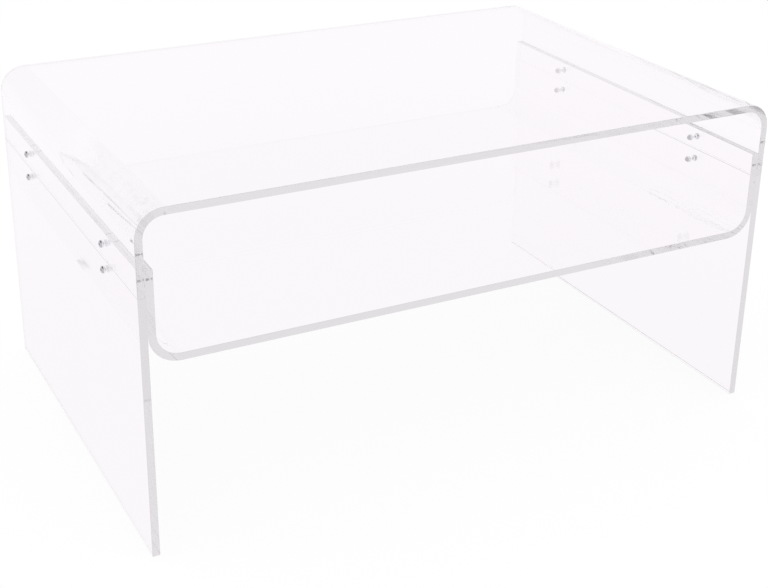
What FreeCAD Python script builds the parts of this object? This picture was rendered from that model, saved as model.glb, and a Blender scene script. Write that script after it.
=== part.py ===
import FreeCAD, Part

# Waterfall coffee table in clear sheet, bolted together from four sheets of one gauge.
#
#   top_panel    sheet bent down at both ends, each end a short flange
#   shelf        sheet bent up at both ends; its flanges lie inside the table's sides and splice the seam
#   left_leg     flat sheet that carries the top panel's flange edge to edge at the seam
#   right_leg    the same sheet, turned round
#   screws       button-head machine screws, four to a side, heads on the outer faces
#   cap nuts     one on the inner end of each screw
#
# Frame: +X along the table, +Z up, origin on the floor under the middle of the table. Millimetres.

import math
import os

import Sketcher
from FreeCAD import Placement, Rotation, Vector

DOCUMENT_NAME = "WaterfallTable"

# Driving dimensions: alias, value, what it is.
SIZES = [
    ("table_width", 914.0, "over the outer faces of the sides"),
    ("table_depth", 610.0, "front edge to back edge of every sheet"),
    ("table_height", 457.0, "floor to the top face"),
    ("sheet_gauge", 10.0, "thickness of all four sheets"),
    ("top_bend_radius", 26.0, "inner radius of the top panel's bends"),
    ("shelf_bend_radius", 29.0, "inner radius of the shelf's bends"),
    ("shelf_height", 271.0, "floor to the shelf's upper face"),
    ("seam_height", 350.0, "floor to the joint between top panel and legs"),
    ("splice_lap", 34.0, "rise of the shelf's flanges above the seam"),
    ("edge_chamfer", 0.8, "polished break on every sheet edge"),
    ("bolt_inset", 132.0, "screw axis in from the front or back edge"),
    ("bolt_rise", 17.0, "screw axis above or below the seam"),
    ("screw_diameter", 5.0, "screw shank"),
    ("hole_clearance", 0.5, "added to the shank's diameter in the sheets"),
    ("head_diameter", 9.5, "button head"),
    ("head_thickness", 2.75, "button head"),
    ("head_rim", 0.5, "straight rim under the head's dome"),
    ("head_flat", 4.6, "diameter of the flat round the drive recess"),
    ("drive_width", 3.0, "hexagon recess across flats"),
    ("drive_depth", 1.6, "hexagon recess"),
    ("shank_point", 0.6, "chamfer at the screw's end"),
    ("thread_reach", 5.0, "length of screw inside the nut"),
    ("thread_gap", 0.1, "added to the shank's diameter in the nut"),
    ("nut_width", 8.0, "cap nut across flats"),
    ("nut_hexagon", 3.8, "height of the nut's hexagon"),
    ("nut_tip_room", 0.8, "bore left empty past the screw's end"),
    ("nut_crown", 1.2, "metal over the end of the bore"),
    ("dome_step", 0.5, "dome's radius inside the nut's flats"),
]

# Levels, spans and diameters that follow from the driving dimensions.
SEAM = "Sizes.seam_height"
TOP = "Sizes.table_height"
SHELF_UNDERSIDE = "Sizes.shelf_height - Sizes.sheet_gauge"
SPLICE_TOP = "Sizes.seam_height + Sizes.splice_lap"
SHELF_WIDTH = "Sizes.table_width - 2 * Sizes.sheet_gauge"
BOLT_SPACING = "Sizes.table_depth - 2 * Sizes.bolt_inset"
HOLE_DIAMETER = "Sizes.screw_diameter + Sizes.hole_clearance"
UPPER_ROW = "Sizes.seam_height + Sizes.bolt_rise"
LOWER_ROW = "Sizes.seam_height - Sizes.bolt_rise"
GRIP = "2 * Sizes.sheet_gauge"
SCREW_LENGTH = "2 * Sizes.sheet_gauge + Sizes.thread_reach"
NUT_BORE_DEPTH = "Sizes.thread_reach + Sizes.nut_tip_room"
NUT_HEIGHT = "Sizes.thread_reach + Sizes.nut_tip_room + Sizes.nut_crown"
NUT_BORE_RADIUS = "(Sizes.screw_diameter + Sizes.thread_gap) / 2"
DOME_RADIUS = "Sizes.nut_width / 2 - Sizes.dome_step"

# Which point of a sketch edge a constraint takes, and the sketch's own origin and axes.
START, END, CENTRE = range(1, 4)
ORIGIN_POINT = (-1, 1)
VERTICAL_AXIS = -2
HORIZONTAL_AXIS = -1

document = FreeCAD.newDocument(DOCUMENT_NAME)
sheet = document.addObject("Spreadsheet::Sheet", "Sizes")
for row, (alias, value, note) in enumerate(SIZES, start=1):
    sheet.set("A%d" % row, alias)
    sheet.set("B%d" % row, str(value))
    sheet.set("C%d" % row, note)
    sheet.setAlias("B%d" % row, alias)
document.recompute()


def value_of(expression):
    """Number that an expression over the sheet's cells has now."""
    return float(sheet.evalExpression(expression.replace("Sizes.", "")))


# ---------------------------------------------------------------- sketch helpers


def sketch_on(body, plane_role, name, offset=None):
    """Sketch on one of the body's origin planes, moved along its normal by an expression."""
    plane = next(item for item in body.Origin.OriginFeatures if item.Role == plane_role)
    sketch = body.newObject("Sketcher::SketchObject", name)
    sketch.AttachmentSupport = [(plane, "")]
    sketch.MapMode = "FlatFace"
    if offset is not None:
        sketch.setExpression(".AttachmentOffset.Base.z", offset)
    return sketch


def add_line(sketch, start, end):
    """Straight edge between two (u, v) points."""
    return sketch.addGeometry(Part.LineSegment(Vector(*start, 0), Vector(*end, 0)), False)


def add_arc(sketch, centre, radius, start_degrees, end_degrees):
    """Arc drawn anticlockwise from its start angle to its end angle."""
    circle = Part.Circle(Vector(*centre, 0), Vector(0, 0, 1), radius)
    arc = Part.ArcOfCircle(circle, math.radians(start_degrees), math.radians(end_degrees))
    return sketch.addGeometry(arc, False)


def tie(sketch, kind, *references):
    """Constraint without a size."""
    return sketch.addConstraint(Sketcher.Constraint(kind, *references))


def measure(sketch, kind, references, expression):
    """Constraint whose size is an expression over the sheet."""
    index = sketch.addConstraint(Sketcher.Constraint(kind, *references, value_of(expression)))
    sketch.setExpression("Constraints[%d]" % index, expression)
    return index


def join_in_turn(sketch, edges):
    """Join each edge's end to the next one's start, all the way round."""
    for edge, following in zip(edges, edges[1:] + edges[:1]):
        tie(sketch, "Coincident", edge, END, following, START)


# ---------------------------------------------------------------- sheets


def bent_sheet_outline(sketch, width, web_level, flange_level, bend_radius):
    """Front view of a sheet with both ends bent the same way, web level first, flanges up or down.

    web_level is the face of the web on the outside of the bends, flange_level is where the
    flanges end. The outline runs round the outer face, then back along the inner face.
    """
    half = value_of(width) / 2
    web = value_of(web_level)
    end = value_of(flange_level)
    gauge = value_of("Sizes.sheet_gauge")
    inner_radius = value_of(bend_radius)
    outer_radius = inner_radius + gauge
    turn = 1 if end < web else -1
    inner_web = web - turn * gauge
    centre_level = web - turn * outer_radius
    run = half - outer_radius

    def bend(side, radius):
        """Quarter turn about the bend's centre on one side."""
        first = {(-1, 1): 90, (1, 1): 0, (-1, -1): 180, (1, -1): 270}[(side, turn)]
        return add_arc(sketch, (side * run, centre_level), radius, first, first + 90)

    outer_left = add_line(sketch, (-half, end), (-half, centre_level))
    outer_left_bend = bend(-1, outer_radius)
    outer_web = add_line(sketch, (-run, web), (run, web))
    outer_right_bend = bend(1, outer_radius)
    outer_right = add_line(sketch, (half, centre_level), (half, end))
    right_end = add_line(sketch, (half, end), (half - gauge, end))
    inner_right = add_line(sketch, (half - gauge, end), (half - gauge, centre_level))
    inner_right_bend = bend(1, inner_radius)
    inner_web_line = add_line(sketch, (run, inner_web), (-run, inner_web))
    inner_left_bend = bend(-1, inner_radius)
    inner_left = add_line(sketch, (gauge - half, centre_level), (gauge - half, end))
    left_end = add_line(sketch, (gauge - half, end), (-half, end))

    # An arc runs anticlockwise, so which of its ends meets the wall depends on side and turn.
    left_wall, left_web = (END, START) if turn == 1 else (START, END)
    right_web, right_wall = (END, START) if turn == 1 else (START, END)
    for wall, wall_end, arc, arc_end in [
        (outer_left, END, outer_left_bend, left_wall),
        (outer_web, START, outer_left_bend, left_web),
        (outer_web, END, outer_right_bend, right_web),
        (outer_right, START, outer_right_bend, right_wall),
        (inner_right, END, inner_right_bend, right_wall),
        (inner_web_line, START, inner_right_bend, right_web),
        (inner_web_line, END, inner_left_bend, left_web),
        (inner_left, START, inner_left_bend, left_wall),
    ]:
        tie(sketch, "Tangent", wall, wall_end, arc, arc_end)
    tie(sketch, "Coincident", outer_right, END, right_end, START)
    tie(sketch, "Coincident", right_end, END, inner_right, START)
    tie(sketch, "Coincident", inner_left, END, left_end, START)
    tie(sketch, "Coincident", left_end, END, outer_left, START)
    for wall in (outer_left, outer_right, inner_right, inner_left):
        tie(sketch, "Vertical", wall)
    for level in (outer_web, inner_web_line, right_end, left_end):
        tie(sketch, "Horizontal", level)
    tie(sketch, "Coincident", outer_left_bend, CENTRE, inner_left_bend, CENTRE)
    tie(sketch, "Coincident", outer_right_bend, CENTRE, inner_right_bend, CENTRE)
    tie(sketch, "Symmetric", outer_left, START, outer_right, END, VERTICAL_AXIS)
    tie(sketch, "Equal", inner_left_bend, inner_right_bend)
    measure(sketch, "DistanceX", (outer_left, START, outer_right, END), width)
    measure(sketch, "DistanceX", (outer_left, START, left_end, START), "Sizes.sheet_gauge")
    measure(sketch, "DistanceY", (*ORIGIN_POINT, outer_left, START), flange_level)
    measure(sketch, "DistanceY", (*ORIGIN_POINT, outer_web, START), web_level)
    measure(sketch, "Radius", (inner_left_bend,), bend_radius)


def break_edges(body, name):
    """Polished break on every edge of a finished sheet."""
    plain_sheet = body.Tip
    chamfer = body.newObject("PartDesign::Chamfer", name)
    chamfer.Base = (plain_sheet, [])
    chamfer.UseAllEdges = True
    chamfer.setExpression("Size", "Sizes.edge_chamfer")
    body.Tip = chamfer
    document.recompute()
    return chamfer


def drill_rows(body, name, face_position, rows):
    """Screw holes along X through all of the body, starting at face_position.

    Each row is a level above the floor and has one hole near the front and one near the back.
    """
    sketch = sketch_on(body, "YZ_Plane", name + "_centres", face_position)
    radius = value_of(HOLE_DIAMETER) / 2
    half = value_of(BOLT_SPACING) / 2
    for level in rows:
        pair = []
        for y in (-half, half):
            circle = Part.Circle(Vector(y, value_of(level), 0), Vector(0, 0, 1), radius)
            pair.append(sketch.addGeometry(circle, False))
        front, back = pair
        tie(sketch, "Equal", front, back)
        tie(sketch, "Symmetric", front, CENTRE, back, CENTRE, VERTICAL_AXIS)
        measure(sketch, "DistanceX", (front, CENTRE, back, CENTRE), BOLT_SPACING)
        measure(sketch, "DistanceY", (*ORIGIN_POINT, front, CENTRE), level)
        measure(sketch, "Diameter", (front,), HOLE_DIAMETER)
    document.recompute()
    solid_before = body.Shape.Volume
    hole = body.newObject("PartDesign::Hole", name)
    hole.Profile = sketch
    hole.DepthType = "ThroughAll"
    hole.setExpression("Diameter", HOLE_DIAMETER)
    body.Tip = hole
    document.recompute()
    if body.Shape.Volume >= solid_before:
        raise RuntimeError("%s: %s cut nothing" % (body.Label, name))
    return hole


def build_bent_sheet(label, width, web_level, flange_level, bend_radius, rows):
    """Sheet with both ends bent, its edges broken and its flanges drilled."""
    body = document.addObject("PartDesign::Body", label)
    outline = sketch_on(body, "XZ_Plane", label + "_outline")
    bent_sheet_outline(outline, width, web_level, flange_level, bend_radius)
    pad = body.newObject("PartDesign::Pad", label + "_sheet")
    pad.Profile = outline
    pad.SideType = "Symmetric"
    pad.setExpression("Length", "Sizes.table_depth")
    body.Tip = pad
    document.recompute()
    break_edges(body, label + "_polished_edges")
    drill_rows(body, label + "_holes", "(%s) / 2" % width, rows)
    return body


def build_leg(label, side):
    """Flat side sheet from the floor to the seam, outer face on its body's YZ plane."""
    body = document.addObject("PartDesign::Body", label)
    outline = sketch_on(body, "YZ_Plane", label + "_outline")
    half = value_of("Sizes.table_depth") / 2
    seam = value_of(SEAM)
    bottom = add_line(outline, (-half, 0), (half, 0))
    back = add_line(outline, (half, 0), (half, seam))
    upper = add_line(outline, (half, seam), (-half, seam))
    front = add_line(outline, (-half, seam), (-half, 0))
    join_in_turn(outline, [bottom, back, upper, front])
    tie(outline, "Vertical", back)
    tie(outline, "Vertical", front)
    tie(outline, "Horizontal", upper)
    tie(outline, "Horizontal", bottom)
    tie(outline, "Symmetric", bottom, START, bottom, END, *ORIGIN_POINT)
    measure(outline, "DistanceX", (bottom, START, bottom, END), "Sizes.table_depth")
    measure(outline, "DistanceY", (back, START, back, END), SEAM)
    pad = body.newObject("PartDesign::Pad", label + "_sheet")
    pad.Profile = outline
    pad.setExpression("Length", "Sizes.sheet_gauge")
    body.Tip = pad
    document.recompute()
    break_edges(body, label + "_polished_edges")
    drill_rows(body, label + "_holes", "Sizes.sheet_gauge", [LOWER_ROW])
    place_at_side(body, side)
    return body


def place_at_side(body, side, level=None):
    """Put a body's local X = 0 plane on one outer face, +X inwards."""
    turn = Rotation(Vector(0, 0, 1), 0 if side < 0 else 180)
    body.Placement = Placement(Vector(0, 0, 0), turn)
    body.setExpression(".Placement.Base.x", "%d * Sizes.table_width / 2" % side)
    if level is not None:
        body.setExpression(".Placement.Base.z", level)


# ---------------------------------------------------------------- fasteners


def fastener_body(label):
    """Body for one side's set of fasteners, seam at its origin."""
    body = document.addObject("PartDesign::Body", label)
    body.AllowCompound = True
    return body


def move_to_first_hole(sketch, plane_role):
    """Shift a sketch from the seam's middle to the lower front hole."""
    if plane_role == "XZ_Plane":
        # This plane's normal points to the front.
        sketch.setExpression(".AttachmentOffset.Base.z", "(%s) / 2" % BOLT_SPACING)
    else:
        sketch.setExpression(".AttachmentOffset.Base.x", "-(%s) / 2" % BOLT_SPACING)
    sketch.setExpression(".AttachmentOffset.Base.y", "-Sizes.bolt_rise")


def spin(body, kind, sketch, name):
    """Revolution or groove of a sketch about its own horizontal axis."""
    feature = body.newObject("PartDesign::" + kind, name)
    feature.Profile = sketch
    feature.ReferenceAxis = (sketch, ["H_Axis"])
    feature.Angle = 360
    body.Tip = feature
    document.recompute()
    return feature


def repeat_on_holes(body, name):
    """Copy one finished fastener to the side's other three holes."""
    pattern = body.newObject("PartDesign::LinearPattern", name)
    pattern.TransformMode = "Whole shape"
    axes = {item.Role: item for item in body.Origin.OriginFeatures}
    pattern.Direction = (axes["Y_Axis"], [""])
    pattern.Occurrences = 2
    pattern.setExpression("Length", BOLT_SPACING)
    pattern.Direction2 = (axes["Z_Axis"], [""])
    pattern.Occurrences2 = 2
    pattern.setExpression("Length2", "2 * Sizes.bolt_rise")
    body.Tip = pattern
    document.recompute()
    return pattern


def hexagon(sketch, across_flats):
    """Regular hexagon about the sketch's origin, two flats level."""
    corner_circle = "(%s) / cos(30 deg)" % across_flats
    radius = value_of(across_flats) / 2 / math.cos(math.radians(30))
    corners = [
        (radius * math.cos(math.radians(60 * turn)), radius * math.sin(math.radians(60 * turn)))
        for turn in range(6)
    ]
    edges = [add_line(sketch, a, b) for a, b in zip(corners, corners[1:] + corners[:1])]
    join_in_turn(sketch, edges)
    guide = sketch.addGeometry(Part.Circle(Vector(0, 0, 0), Vector(0, 0, 1), radius), True)
    tie(sketch, "Coincident", guide, CENTRE, *ORIGIN_POINT)
    for edge in edges:
        tie(sketch, "PointOnObject", edge, START, guide)
    for edge in edges[1:]:
        tie(sketch, "Equal", edges[0], edge)
    tie(sketch, "PointOnObject", edges[0], START, HORIZONTAL_AXIS)
    measure(sketch, "Diameter", (guide,), corner_circle)


def screw_outline(sketch):
    """Half section of the screw: domed head outside the sheets, shank through them."""
    head = value_of("Sizes.head_diameter") / 2
    thickness = value_of("Sizes.head_thickness")
    rim = value_of("Sizes.head_rim")
    flat = value_of("Sizes.head_flat") / 2
    shank = value_of("Sizes.screw_diameter") / 2
    point = value_of("Sizes.shank_point")
    length = value_of(SCREW_LENGTH)
    # The dome's centre lies on the screw's axis, at equal reach from rim and flat.
    centre = (rim**2 + head**2 - thickness**2 - flat**2) / (2 * (thickness - rim))
    radius = math.hypot(centre + rim, head)
    low = math.degrees(math.atan2(head, -rim - centre))
    high = math.degrees(math.atan2(flat, -thickness - centre))

    top = add_line(sketch, (-thickness, 0), (-thickness, flat))
    dome = add_arc(sketch, (centre, 0), radius, low, high)
    side = add_line(sketch, (-rim, head), (0, head))
    seat = add_line(sketch, (0, head), (0, shank))
    shaft = add_line(sketch, (0, shank), (length - point, shank))
    slope = add_line(sketch, (length - point, shank), (length, shank - point))
    tip = add_line(sketch, (length, shank - point), (length, 0))
    axis = add_line(sketch, (length, 0), (-thickness, 0))
    tie(sketch, "Coincident", top, END, dome, END)
    tie(sketch, "Coincident", dome, START, side, START)
    tie(sketch, "Coincident", side, END, seat, START)
    tie(sketch, "Coincident", seat, END, shaft, START)
    tie(sketch, "Coincident", shaft, END, slope, START)
    tie(sketch, "Coincident", slope, END, tip, START)
    tie(sketch, "Coincident", tip, END, axis, START)
    tie(sketch, "Coincident", axis, END, top, START)
    for upright in (top, seat, tip):
        tie(sketch, "Vertical", upright)
    for level in (side, shaft):
        tie(sketch, "Horizontal", level)
    tie(sketch, "PointOnObject", axis, START, HORIZONTAL_AXIS)
    tie(sketch, "PointOnObject", axis, END, HORIZONTAL_AXIS)
    tie(sketch, "PointOnObject", dome, CENTRE, HORIZONTAL_AXIS)
    tie(sketch, "PointOnObject", seat, END, VERTICAL_AXIS)
    measure(sketch, "DistanceX", (top, START, *ORIGIN_POINT), "Sizes.head_thickness")
    measure(sketch, "DistanceX", (side, START, side, END), "Sizes.head_rim")
    measure(sketch, "DistanceY", (top, START, top, END), "Sizes.head_flat / 2")
    measure(sketch, "DistanceY", (*ORIGIN_POINT, side, END), "Sizes.head_diameter / 2")
    measure(sketch, "DistanceY", (*ORIGIN_POINT, seat, END), "Sizes.screw_diameter / 2")
    measure(sketch, "DistanceX", (*ORIGIN_POINT, tip, END), SCREW_LENGTH)
    measure(sketch, "DistanceX", (shaft, END, slope, END), "Sizes.shank_point")
    measure(sketch, "DistanceY", (slope, END, slope, START), "Sizes.shank_point")


def build_screws(label, side):
    """One side's four button-head screws, heads against the outer face."""
    body = fastener_body(label)
    profile = sketch_on(body, "XZ_Plane", label + "_profile")
    screw_outline(profile)
    move_to_first_hole(profile, "XZ_Plane")
    spin(body, "Revolution", profile, label + "_turned")
    recess = sketch_on(body, "YZ_Plane", label + "_drive", "-Sizes.head_thickness")
    hexagon(recess, "Sizes.drive_width")
    move_to_first_hole(recess, "YZ_Plane")
    solid_before = body.Shape.Volume
    pocket = body.newObject("PartDesign::Pocket", label + "_drive_recess")
    pocket.Profile = recess
    pocket.Reversed = True
    pocket.setExpression("Length", "Sizes.drive_depth")
    body.Tip = pocket
    document.recompute()
    if body.Shape.Volume >= solid_before:
        raise RuntimeError("%s: the drive recess cut nothing" % label)
    repeat_on_holes(body, label + "_on_four_holes")
    place_at_side(body, side, SEAM)
    return body


def dome_outline(sketch):
    """Half section of the nut's dome, from inside the hexagon to the crown."""
    grip = value_of(GRIP)
    start = grip + value_of("Sizes.nut_hexagon") / 2
    shoulder = grip + value_of("Sizes.nut_hexagon")
    crown = grip + value_of(NUT_HEIGHT)
    radius = value_of(DOME_RADIUS)
    rise = crown - shoulder
    # The dome's arc starts square to the hexagon's top edge circle and ends on the axis.
    sphere = (radius**2 + rise**2) / (2 * rise)
    centre = crown - sphere
    high = math.degrees(math.atan2(radius, shoulder - centre))
    base = add_line(sketch, (start, 0), (start, radius))
    wall = add_line(sketch, (start, radius), (shoulder, radius))
    dome = add_arc(sketch, (centre, 0), sphere, 0, high)
    axis = add_line(sketch, (crown, 0), (start, 0))
    tie(sketch, "Coincident", base, END, wall, START)
    tie(sketch, "Coincident", wall, END, dome, END)
    tie(sketch, "Coincident", dome, START, axis, START)
    tie(sketch, "Coincident", axis, END, base, START)
    tie(sketch, "Vertical", base)
    tie(sketch, "Horizontal", wall)
    tie(sketch, "Horizontal", axis)
    tie(sketch, "PointOnObject", base, START, HORIZONTAL_AXIS)
    tie(sketch, "PointOnObject", dome, CENTRE, HORIZONTAL_AXIS)
    measure(sketch, "DistanceX", (*ORIGIN_POINT, base, START), GRIP + " + Sizes.nut_hexagon / 2")
    measure(sketch, "DistanceX", (wall, START, wall, END), "Sizes.nut_hexagon / 2")
    measure(sketch, "DistanceX", (*ORIGIN_POINT, dome, START), GRIP + " + " + NUT_HEIGHT)
    measure(sketch, "DistanceY", (base, START, base, END), DOME_RADIUS)


def bore_outline(sketch):
    """Half section of the nut's blind bore, open towards the sheets."""
    start = value_of(GRIP)
    end = start + value_of(NUT_BORE_DEPTH)
    radius = value_of(NUT_BORE_RADIUS)
    mouth = add_line(sketch, (start, 0), (start, radius))
    wall = add_line(sketch, (start, radius), (end, radius))
    bottom = add_line(sketch, (end, radius), (end, 0))
    axis = add_line(sketch, (end, 0), (start, 0))
    join_in_turn(sketch, [mouth, wall, bottom, axis])
    tie(sketch, "Vertical", mouth)
    tie(sketch, "Horizontal", wall)
    tie(sketch, "Vertical", bottom)
    tie(sketch, "Horizontal", axis)
    tie(sketch, "PointOnObject", mouth, START, HORIZONTAL_AXIS)
    measure(sketch, "DistanceX", (*ORIGIN_POINT, mouth, START), GRIP)
    measure(sketch, "DistanceX", (wall, START, wall, END), NUT_BORE_DEPTH)
    measure(sketch, "DistanceY", (mouth, START, mouth, END), NUT_BORE_RADIUS)


def build_cap_nuts(label, side):
    """One side's four cap nuts, seated on the inner face of the shelf's flange."""
    body = fastener_body(label)
    outline = sketch_on(body, "YZ_Plane", label + "_hexagon", GRIP)
    hexagon(outline, "Sizes.nut_width")
    move_to_first_hole(outline, "YZ_Plane")
    pad = body.newObject("PartDesign::Pad", label + "_flats")
    pad.Profile = outline
    pad.setExpression("Length", "Sizes.nut_hexagon")
    body.Tip = pad
    document.recompute()
    dome = sketch_on(body, "XZ_Plane", label + "_dome_profile")
    dome_outline(dome)
    move_to_first_hole(dome, "XZ_Plane")
    spin(body, "Revolution", dome, label + "_dome")
    solid_before = body.Shape.Volume
    bore = sketch_on(body, "XZ_Plane", label + "_bore_profile")
    bore_outline(bore)
    move_to_first_hole(bore, "XZ_Plane")
    spin(body, "Groove", bore, label + "_bore")
    if body.Shape.Volume >= solid_before:
        raise RuntimeError("%s: the bore cut nothing" % label)
    repeat_on_holes(body, label + "_on_four_holes")
    place_at_side(body, side, SEAM)
    return body


# ---------------------------------------------------------------- assembly

SIDES = [("left", -1), ("right", 1)]

sub_parts = [
    build_bent_sheet(
        "top_panel", "Sizes.table_width", TOP, SEAM, "Sizes.top_bend_radius", [UPPER_ROW]
    ),
    build_bent_sheet(
        "shelf", SHELF_WIDTH, SHELF_UNDERSIDE, SPLICE_TOP, "Sizes.shelf_bend_radius",
        [LOWER_ROW, UPPER_ROW],
    ),
]
for side_name, side_sign in SIDES:
    sub_parts.append(build_leg(side_name + "_leg", side_sign))
    sub_parts.append(build_screws(side_name + "_screws", side_sign))
    sub_parts.append(build_cap_nuts(side_name + "_cap_nuts", side_sign))
document.recompute()

for item in document.Objects:
    if "Invalid" in item.State or "Error" in item.State:
        raise RuntimeError("%s failed: %s" % (item.Label, item.State))
for part in sub_parts:
    if part.Shape.isNull() or not part.Shape.isValid():
        raise RuntimeError("%s has no valid solid" % part.Label)

os.makedirs("parts", exist_ok=True)
for part in sub_parts:
    part.Shape.exportStep("parts/%s.step" % part.Label)
    box = part.Shape.BoundBox
    print(
        "%-16s %d solid(s)  x %8.2f %8.2f  y %8.2f %8.2f  z %7.2f %7.2f  volume %.1f"
        % (
            part.Label, len(part.Shape.Solids), box.XMin, box.XMax, box.YMin, box.YMax,
            box.ZMin, box.ZMax, part.Shape.Volume,
        )
    )
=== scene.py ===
"""Clear acrylic waterfall coffee table: the shape and finish of every sheet and fastener, and the studio."""

import logging
import math
from dataclasses import dataclass, field
from enum import Enum
from typing import Iterable, Optional

import bmesh
import bpy
from mathutils import Matrix, Vector


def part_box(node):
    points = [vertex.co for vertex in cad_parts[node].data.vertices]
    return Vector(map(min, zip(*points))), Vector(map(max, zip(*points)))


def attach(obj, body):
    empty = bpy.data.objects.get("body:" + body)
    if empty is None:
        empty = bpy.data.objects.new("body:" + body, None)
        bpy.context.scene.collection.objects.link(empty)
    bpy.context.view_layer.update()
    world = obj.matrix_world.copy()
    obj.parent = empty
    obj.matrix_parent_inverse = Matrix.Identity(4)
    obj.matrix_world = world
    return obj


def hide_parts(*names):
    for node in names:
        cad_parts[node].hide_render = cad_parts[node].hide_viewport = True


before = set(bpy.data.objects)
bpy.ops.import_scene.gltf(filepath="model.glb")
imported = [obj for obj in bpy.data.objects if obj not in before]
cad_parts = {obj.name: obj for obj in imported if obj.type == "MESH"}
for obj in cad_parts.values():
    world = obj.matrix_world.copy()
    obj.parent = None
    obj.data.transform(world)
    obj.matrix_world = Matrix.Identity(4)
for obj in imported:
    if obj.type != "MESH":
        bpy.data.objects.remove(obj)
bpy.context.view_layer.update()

BODY = "root"
LOG = logging.getLogger("waterfall_table")

Socket = bpy.types.NodeSocket
Colour = tuple[float, float, float]
Pair = tuple[float, float]

MM = 0.001
QUARTER = math.pi / 2
FULL = 2 * math.pi
HEX = 6
X_AXIS, Y_AXIS, Z_AXIS = Vector((1, 0, 0)), Vector((0, 1, 0)), Vector((0, 0, 1))
WHITE = (1.0, 1.0, 1.0)
UNIT = (0.0, 1.0)

WELD = 0.001 * MM  # points closer than this are one
FILM = 0.05 * MM  # air that a face keeps from the plane where two pieces meet
SHARP = math.radians(50)  # an edge that turns by more is a corner
CREASE = math.radians(25)  # an edge of a turned part that turns by less is shaded smooth
FACING = 0.5  # a face looks along an axis if its normal's part there is larger
PLANE = 0.99999  # and stands square to that axis from this part on

# Marks that the meshes carry for the finishes: the radius in metres, the others from 0 to 1.
HEATED = "heated"
SAWN = "sawn_edge"
TURN_RADIUS = "turn_radius"
# Where the steel gets a painted highlight: on sharp corners.
CORNER_HIGHLIGHT = "worn_corner"
# Where the steel gets painted shade: the bottom of a socket.
RECESS = "recess"


class Slot(Enum):
    """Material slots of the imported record."""

    ACRYLIC = "clear_acrylic"
    STEEL = "polished_steel"


class Side(Enum):
    """The table's two ends, by the sign of X at their outer faces."""

    LEFT = -1
    RIGHT = 1

    @property
    def word(self) -> str:
        """The side's name as the nodes spell it."""
        return self.name.lower()


# ---------------------------------------- node helpers


class Shader:
    """A node tree under construction, with short calls to add and join its nodes."""

    def __init__(self, tree: bpy.types.NodeTree) -> None:
        """Take over a tree and clear it."""
        self.tree = tree
        self.tree.nodes.clear()

    def add(self, kind: str, inputs: Optional[dict] = None, **settings: object) -> bpy.types.Node:
        """Add a node.

        Args:
            kind: The node's bl_idname.
            inputs: By input name or number, the socket to link to it or its value, for a colour three
                numbers.
            settings: Node properties such as operation or data_type.

        Returns:
            The new node.
        """
        node = self.tree.nodes.new(kind)
        for name, value in settings.items():
            setattr(node, name, value)
        for key, value in (inputs or {}).items():
            target = node.inputs[key]
            if isinstance(value, Socket):
                self.tree.links.new(value, target)
            else:
                target.default_value = (*value, 1.0) if target.type == "RGBA" else value
        return node

    def place(self) -> Socket:
        """Read the place on the piece, in metres."""
        return self.add("ShaderNodeTexCoord").outputs["Object"]

    def mark(self, name: str) -> Socket:
        """Read a mark that the mesh carries."""
        return self.add("ShaderNodeAttribute", attribute_name=name).outputs["Fac"]

    def math(self, operation: str, first: object, second: object) -> Socket:
        """Work out one number from two, each a socket or a number."""
        return self.add("ShaderNodeMath", {0: first, 1: second}, operation=operation).outputs[0]

    def band(self, value: Socket, low: float, high: float, new_low: float, new_high: float) -> Socket:
        """Map a value's range to another one, clamped.

        Args:
            value: The socket to read.
            low: Value that becomes new_low.
            high: Value that becomes new_high.
            new_low: Result at the low end.
            new_high: Result at the high end.

        Returns:
            The mapped value's socket.
        """
        return self.add("ShaderNodeMapRange", {
            "Value": value, "From Min": low, "From Max": high, "To Min": new_low, "To Max": new_high,
        }).outputs["Result"]

    def noise(self, vector: Socket, scale: object, detail: float, roughness: float = 0.5) -> Socket:
        """Add a Noise Texture.

        Args:
            vector: Coordinates to read.
            scale: Features per metre, a number or a socket.
            detail: Octaves.
            roughness: Strength of each octave against the one before.

        Returns:
            The value's socket.
        """
        return self.add("ShaderNodeTexNoise", {
            "Vector": vector, "Scale": scale, "Detail": detail, "Roughness": roughness,
        }).outputs["Fac"]

    def bump(self, height: Socket, distance: float) -> Socket:
        """Turn a height into a normal, where a height of 1 stands out by the distance."""
        return self.add("ShaderNodeBump", {"Height": height, "Distance": distance}).outputs["Normal"]

    def blend(self, share: Socket, first: object, second: object) -> Socket:
        """Mix two colours.

        Args:
            share: Share of the second colour.
            first: Colour at 0, a socket or three numbers.
            second: Colour at 1, a socket or three numbers.

        Returns:
            The colour's socket.
        """
        inputs = {"Factor": share, "A": first, "B": second}
        return self.add("ShaderNodeMix", inputs, data_type="RGBA").outputs["Result"]

    def choose(self, share: Socket, first: Socket, second: Socket) -> Socket:
        """Mix two shaders, of which the second has the share."""
        return self.add("ShaderNodeMixShader", {0: share, 1: first, 2: second}).outputs["Shader"]


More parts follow.
